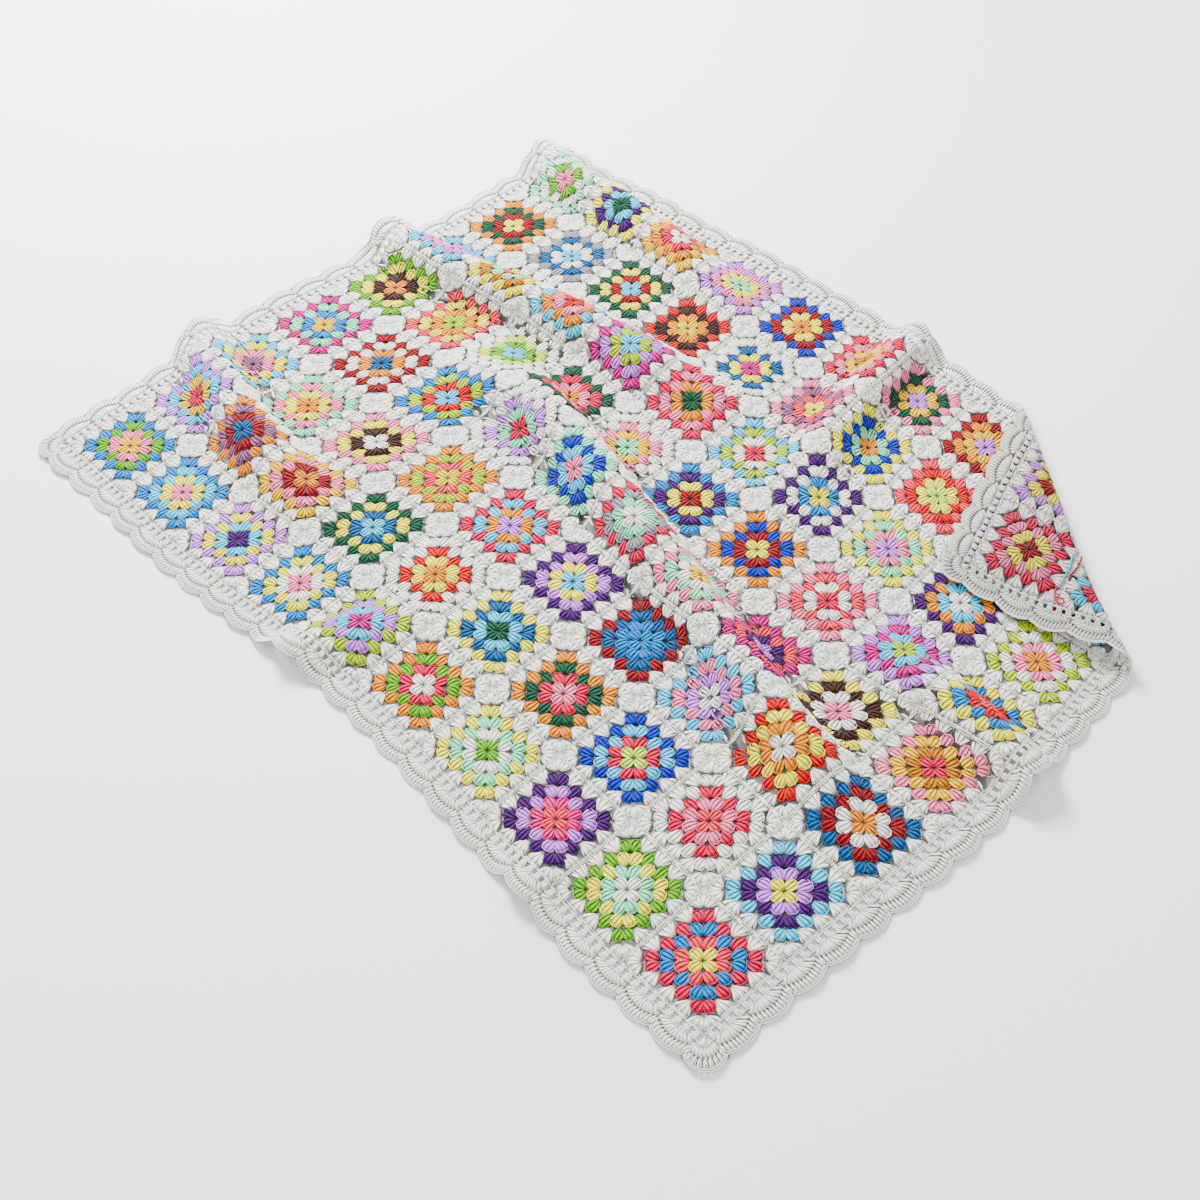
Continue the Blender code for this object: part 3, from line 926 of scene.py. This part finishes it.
def shell_stitches():
    """The edging's shells: kind 0 is a shell on a side, 1 a shell round a corner."""
    for facing in FACINGS:
        length = side_length(facing)
        for index in range(round(length / SHELL)):
            yield white_copy(0, side_place(facing, SHELL * (index + 0.5), 0), facing)
        yield white_copy(1, side_place(facing, length, 0), facing + pi / 4)


def edging_backs():
    """The bodies behind the edging's stitches, of kind 2, with painted shade where they show."""
    half = CORNER_POSTS // 2
    for facing in FACINGS:
        length = side_length(facing)
        for index in range(round(length / POST_SPACING)):
            start = POST_SPACING * (index + 0.5)
            yield white_copy(2, side_place(facing, start, 0), facing)
        for index in range(round(length / SHELL)):
            for step in range(SHELL_POSTS):
                share = 2 * (step + 0.5) / SHELL_POSTS - 1
                start = SHELL * (index + 0.5) + share * SHELL / 2
                for out, scale in SIDE_BACKS:
                    yield white_copy(2, side_place(facing, start, out), facing, scale=scale)
        corner = side_place(facing, length, 0)
        for step in range(CORNER_POSTS):
            angle = facing + pi / 4 + CORNER_FAN * (step - half) / half
            outward = directions(angle)[1]
            for out, scale in CORNER_BACKS:
                yield white_copy(2, corner + outward * out, angle, scale=scale)


def yarn_end(points):
    """A loose end of yarn, through points in millimetres."""
    stitch = new_stitch()
    add_yarn(stitch, points, [END_RADIUS] * len(points), [1.0] * len(points), crest=-pi / 2)
    return finished(stitch)


def yarn_end_copies():
    """The loose ends on the wrong side."""
    for end in YARN_ENDS:
        yield Copy(end.kind, end.place, end.angle, (1.0, 1.0), 0.0, 0.0, linear(YARNS[end.yarn]))


def yarn_material():
    """Plied cotton: the dyed colour, with painted shade between the plies and a soft fuzz over it."""
    material = bpy.data.materials.new("plied_cotton")
    material.use_nodes = True
    tree = material.node_tree
    shader = tree.nodes["Principled BSDF"]
    shader.inputs["Roughness"].default_value = 0.82
    shader.inputs["Specular IOR Level"].default_value = 0.2
    shader.inputs["Sheen Weight"].default_value = 0.05
    shader.inputs["Sheen Roughness"].default_value = 0.5
    # The dye with its painted shade and painted highlights, from the points of each piece.
    dye_and_painted_shade = tree.nodes.new("ShaderNodeAttribute")
    dye_and_painted_shade.attribute_name = "dye_and_painted_shade"
    yarn = tree.nodes.new("ShaderNodeUVMap")
    yarn.uv_map = "yarn"
    slant = tree.nodes.new("ShaderNodeMapping")
    slant.inputs["Rotation"].default_value = (0, 0, radians(45))
    plies = tree.nodes.new("ShaderNodeTexWave")
    plies.inputs["Scale"].default_value = 0.45
    plies.inputs["Distortion"].default_value = 0.6
    # Painted shade between the plies: the colour is darkened to 0.7 where the wave is low.
    ramp = tree.nodes.new("ShaderNodeValToRGB")
    ramp.color_ramp.elements[0].position = 0.0
    ramp.color_ramp.elements[0].color = (0.70, 0.70, 0.70, 1)
    ramp.color_ramp.elements[1].position = 0.55
    ramp.color_ramp.elements[1].color = (1, 1, 1, 1)
    twist = tree.nodes.new("ShaderNodeMix")
    twist.data_type = "RGBA"
    twist.blend_type = "MULTIPLY"
    twist.inputs["Factor"].default_value = 1.0
    relief = tree.nodes.new("ShaderNodeBump")
    relief.inputs["Distance"].default_value = 0.3 * MM
    relief.inputs["Strength"].default_value = 0.6
    tree.links.new(yarn.outputs["UV"], slant.inputs["Vector"])
    tree.links.new(slant.outputs["Vector"], plies.inputs["Vector"])
    tree.links.new(plies.outputs["Fac"], ramp.inputs["Fac"])
    tree.links.new(dye_and_painted_shade.outputs["Color"], twist.inputs["A"])
    tree.links.new(ramp.outputs["Color"], twist.inputs["B"])
    tree.links.new(twist.outputs["Result"], shader.inputs["Base Color"])
    tree.links.new(plies.outputs["Fac"], relief.inputs["Height"])
    tree.links.new(relief.outputs["Normal"], shader.inputs["Normal"])
    return material


def painted_shade_colour(colour):
    """The colour of the painted shade in the depths of a stitch, which stays paler for a pale yarn than
    for a deep one.
    """
    return colour * (DEPTH_PAINTED_SHADE + DEPTH_PALENESS * np.mean(colour) ** 2)


def build():
    """Works every piece of the blanket."""
    move = to_frame()
    material = yarn_material()
    clusters = []
    for seed in range(VARIANTS):
        clusters.append(cluster(seed, CLUSTER_SPREADS, CLUSTER_SWELL, CLUSTER_HEADS))
    for seed in range(VARIANTS, 2 * VARIANTS):
        clusters.append(cluster(seed, BORDER_SPREADS, BORDER_SWELL, BORDER_HEADS))
    behind = []
    for row, charted in enumerate(CHART):
        copies = []
        for column, yarns in enumerate(charted):
            copies.extend(square_clusters(column, row, yarns.split()))
        made = piece(f"squares_row_{row + 1}", clusters, copies, material, move)
        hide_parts("joined_squares")
        for copy in copies:
            kind = copy.kind // VARIANTS
            # The bodies behind take a painted shade colour of their cluster's yarn.
            behind.append(copy._replace(kind=kind, colour=painted_shade_colour(copy.colour)))
    behind.extend(edging_backs())
    kinds = [back(outline) for outline in (CLUSTER_BACK, BORDER_BACK, POST_BACK)]
    backs = piece("stitch_backs", kinds, behind, material, move)
    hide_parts("joined_squares", "crocheted_edging")
    seam_kinds = [chain_length(BORDER_PITCH / MM, SEAM_PART, SEAM_ARCH), knot(), corner_star()]
    seams = piece("joining_seams", seam_kinds, list(seam_stitches()), material, move)
    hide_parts("joined_squares")
    mesh_kinds = [chain_length(POST_SPACING / MM, MESH_PART, MESH_ARCH), mesh_post()]
    mesh_row = piece("edging_mesh_row", mesh_kinds, list(mesh_row_stitches()), material, move)
    shells = piece("edging_shells", [side_shell(), corner_shell()], list(shell_stitches()), material, move)
    for made in (mesh_row, shells):
        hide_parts("crocheted_edging")
    ends = piece("yarn_ends", [yarn_end(END_LOOP), yarn_end(END_FLOAT)], yarn_end_copies(), material, move)
    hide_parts("joined_squares")


def studio():
    """A pale floor, soft lights and the camera."""
    bpy.ops.mesh.primitive_plane_add(size=FLOOR_SIZE, location=(0, 0, 0))
    floor = bpy.context.object
    floor.name = "floor"
    paint = bpy.data.materials.new("pale_floor")
    paint.use_nodes = True
    shader = paint.node_tree.nodes["Principled BSDF"]
    shader.inputs["Base Color"].default_value = FLOOR_COLOUR
    shader.inputs["Roughness"].default_value = FLOOR_ROUGHNESS
    floor.data.materials.append(paint)
    world = bpy.data.worlds.new("studio")
    bpy.context.scene.world = world
    world.use_nodes = True
    sky = world.node_tree.nodes["Background"]
    sky.inputs["Color"].default_value = (1, 1, 1, 1)
    sky.inputs["Strength"].default_value = SKY_STRENGTH
    for planned in LIGHTS:
        light = bpy.data.lights.new(planned.name, "AREA")
        light.size = planned.size
        light.energy = planned.power
        lamp = bpy.data.objects.new(planned.name, light)
        lamp.location = planned.place
        lamp.rotation_euler = (-Vector(planned.place)).to_track_quat("-Z", "Y").to_euler()
        bpy.context.scene.collection.objects.link(lamp)
    eye = bpy.data.cameras.new("camera")
    eye.lens = LENS
    camera = bpy.data.objects.new("camera", eye)
    away = Vector((sin(AZIMUTH) * cos(ELEVATION), -cos(AZIMUTH) * cos(ELEVATION), sin(ELEVATION)))
    camera.location = Vector(AIM) + away * DISTANCE
    camera.rotation_euler = (-away).to_track_quat("-Z", "Y").to_euler()
    bpy.context.scene.collection.objects.link(camera)
    bpy.context.scene.camera = camera


build()
studio()
